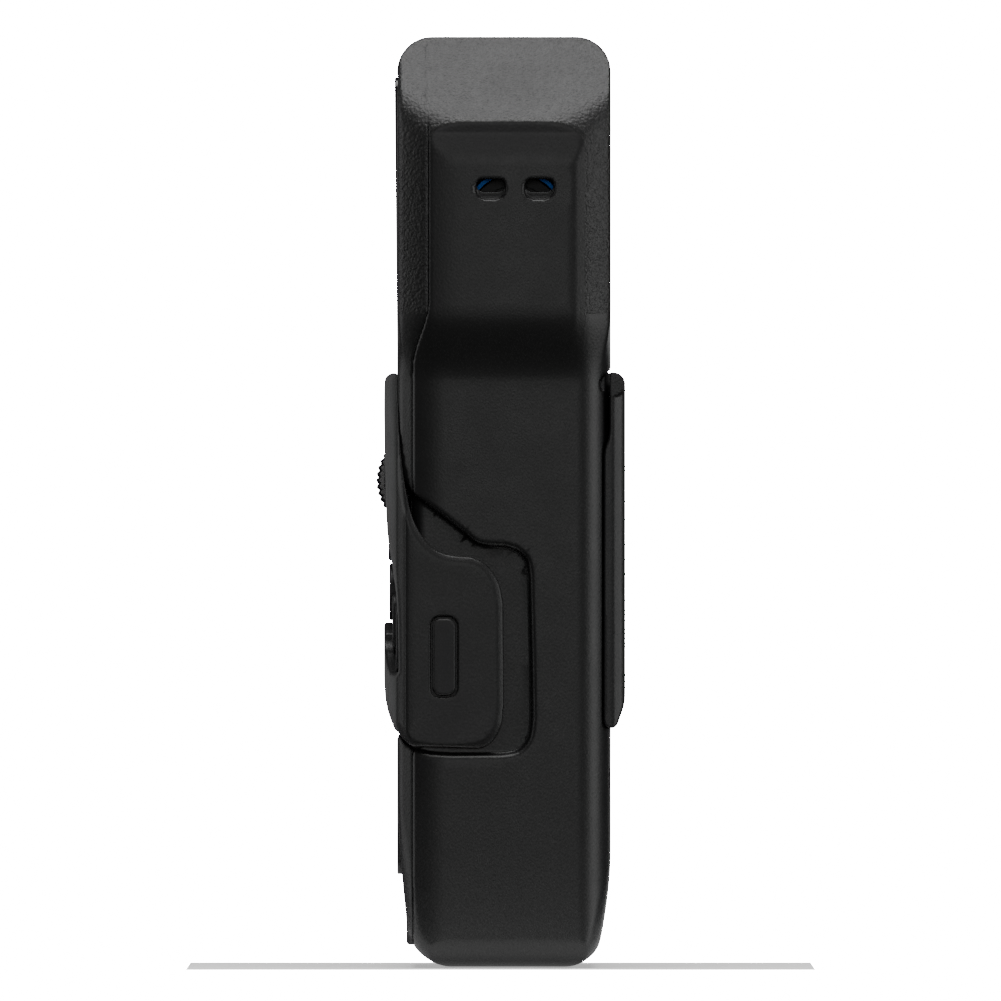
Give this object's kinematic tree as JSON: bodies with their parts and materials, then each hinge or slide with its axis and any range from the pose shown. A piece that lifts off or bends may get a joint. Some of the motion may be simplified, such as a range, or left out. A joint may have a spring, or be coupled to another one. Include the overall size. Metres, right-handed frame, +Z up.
{
  "type": "portable field recorder",
  "caption": "Hand-held sound recorder: wide microphone head with side sound slots, grip with a wrap-round control cover, thumbwheel and keys, hinged battery door on the back",
  "frame": {"origin": "middle of the base face, on the surface the recorder stands on", "axes": "+Z up to the microphone head; -Y is the front with the display and keys; +Y the back with the battery door; X across the width"},
  "size_m": [0.062, 0.0398, 0.1483],
  "materials": {
    "shell": "fine moulded grain",
    "cover": "soft matt",
    "window": "polished",
    "display": "satin",
    "wheel": "polished, knurled",
    "key": "soft matt",
    "record_key": "satin",
    "mic_can": "satin",
    "mic_ring": "blue anodised",
    "mic_boot": "soft",
    "board": "solder resist",
    "steel": "plated",
    "dark_metal": "dark plated",
    "cell": "printed sleeve",
    "brass": "turned"
  },
  "bodies": {
    "housing": {"front_shell": "shell", "rear_shell": "shell", "speaker_grille": "shell", "capsule_bridge": "shell", "jack_phones": "shell", "jack_line": "shell", "memory_card": "shell", "control_cover": "cover", "display_window": "window", "display_module": "display", "capsule_right": "mic_can", "capsule_left": "mic_can", "capsule_ring_right": "mic_ring", "capsule_ring_left": "mic_ring", "capsule_boot_right": "mic_boot", "capsule_boot_left": "mic_boot", "key_mat": "mic_boot", "main_board": "board", "usb_socket": "steel", "card_socket": "steel", "door_pin": "steel", "contact_bridge": "steel", "contact_left": "steel", "contact_right": "steel", "wheel_encoder": "dark_metal", "speaker": "dark_metal", "slide_switch": "dark_metal", "case_screw_1": "dark_metal", "case_screw_2": "dark_metal", "case_screw_3": "dark_metal", "case_screw_4": "dark_metal", "cell_left": "cell", "cell_right": "cell", "tripod_insert": "brass"},
    "thumbwheel": {"thumbwheel": "wheel", "wheel_axle": "steel"},
    "side_key_right": {"side_key_right": "key"},
    "side_key_left": {"side_key_left": "key"},
    "power_slider": {"power_slider": "cover"},
    "battery_door": {"battery_door": "shell"},
    "door_latch": {"door_latch": "cover"},
    "port_flap": {"port_flap": "cover"},
    "key_mark": {"key_mark": "key"},
    "key_record": {"key_record": "record_key"},
    "key_back": {"key_back": "key"},
    "key_forward": {"key_forward": "key"},
    "key_stop": {"key_stop": "key"},
    "key_play": {"key_play": "key"}
  },
  "joints": [
    {"name": "wheel_turn", "type": "hinge", "parent": "housing", "child": "thumbwheel", "pos_m": [0, -0.0119, 0.0775], "axis": [1, 0, 0], "continuous": true},
    {"name": "key_mark_press", "type": "slide", "parent": "housing", "child": "key_mark", "axis": [0, 1, 0], "range_m": [0, 0.0008], "stiffness_N_per_m": 800, "springref_m": -0.0004},
    {"name": "key_record_press", "type": "slide", "parent": "housing", "child": "key_record", "axis": [0, 1, 0], "range_m": [0, 0.0008], "stiffness_N_per_m": 800, "springref_m": -0.0004},
    {"name": "key_back_press", "type": "slide", "parent": "housing", "child": "key_back", "axis": [0, 1, 0], "range_m": [0, 0.0008], "stiffness_N_per_m": 800, "springref_m": -0.0004},
    {"name": "key_forward_press", "type": "slide", "parent": "housing", "child": "key_forward", "axis": [0, 1, 0], "range_m": [0, 0.0008], "stiffness_N_per_m": 800, "springref_m": -0.0004},
    {"name": "key_stop_press", "type": "slide", "parent": "housing", "child": "key_stop", "axis": [0, 1, 0], "range_m": [0, 0.0008], "stiffness_N_per_m": 800, "springref_m": -0.0004},
    {"name": "key_play_press", "type": "slide", "parent": "housing", "child": "key_play", "axis": [0, 1, 0], "range_m": [0, 0.0008], "stiffness_N_per_m": 800, "springref_m": -0.0004},
    {"name": "side_key_right_press", "type": "slide", "parent": "housing", "child": "side_key_right", "axis": [-1, 0, 0], "range_m": [0, 0.0005], "stiffness_N_per_m": 800, "springref_m": -0.0004},
    {"name": "side_key_left_press", "type": "slide", "parent": "housing", "child": "side_key_left", "axis": [1, 0, 0], "range_m": [0, 0.0005], "stiffness_N_per_m": 800, "springref_m": -0.0004},
    {"name": "power_slide", "type": "slide", "parent": "housing", "child": "power_slider", "axis": [0, 0, 1], "range_m": [0, 0.004]},
    {"name": "door_swing", "type": "hinge", "parent": "housing", "child": "battery_door", "pos_m": [0, 0.01795, 0.0928], "axis": [1, 0, 0], "range_deg": [0, 110]},
    {"name": "latch_slide", "type": "slide", "parent": "battery_door", "child": "door_latch", "axis": [0, 0, 1], "range_m": [-0.0024, 0]},
    {"name": "flap_swing", "type": "hinge", "parent": "housing", "child": "port_flap", "pos_m": [0, -0.0016, 0.00135], "axis": [1, 0, 0], "range_deg": [0, 85]}
  ]
}
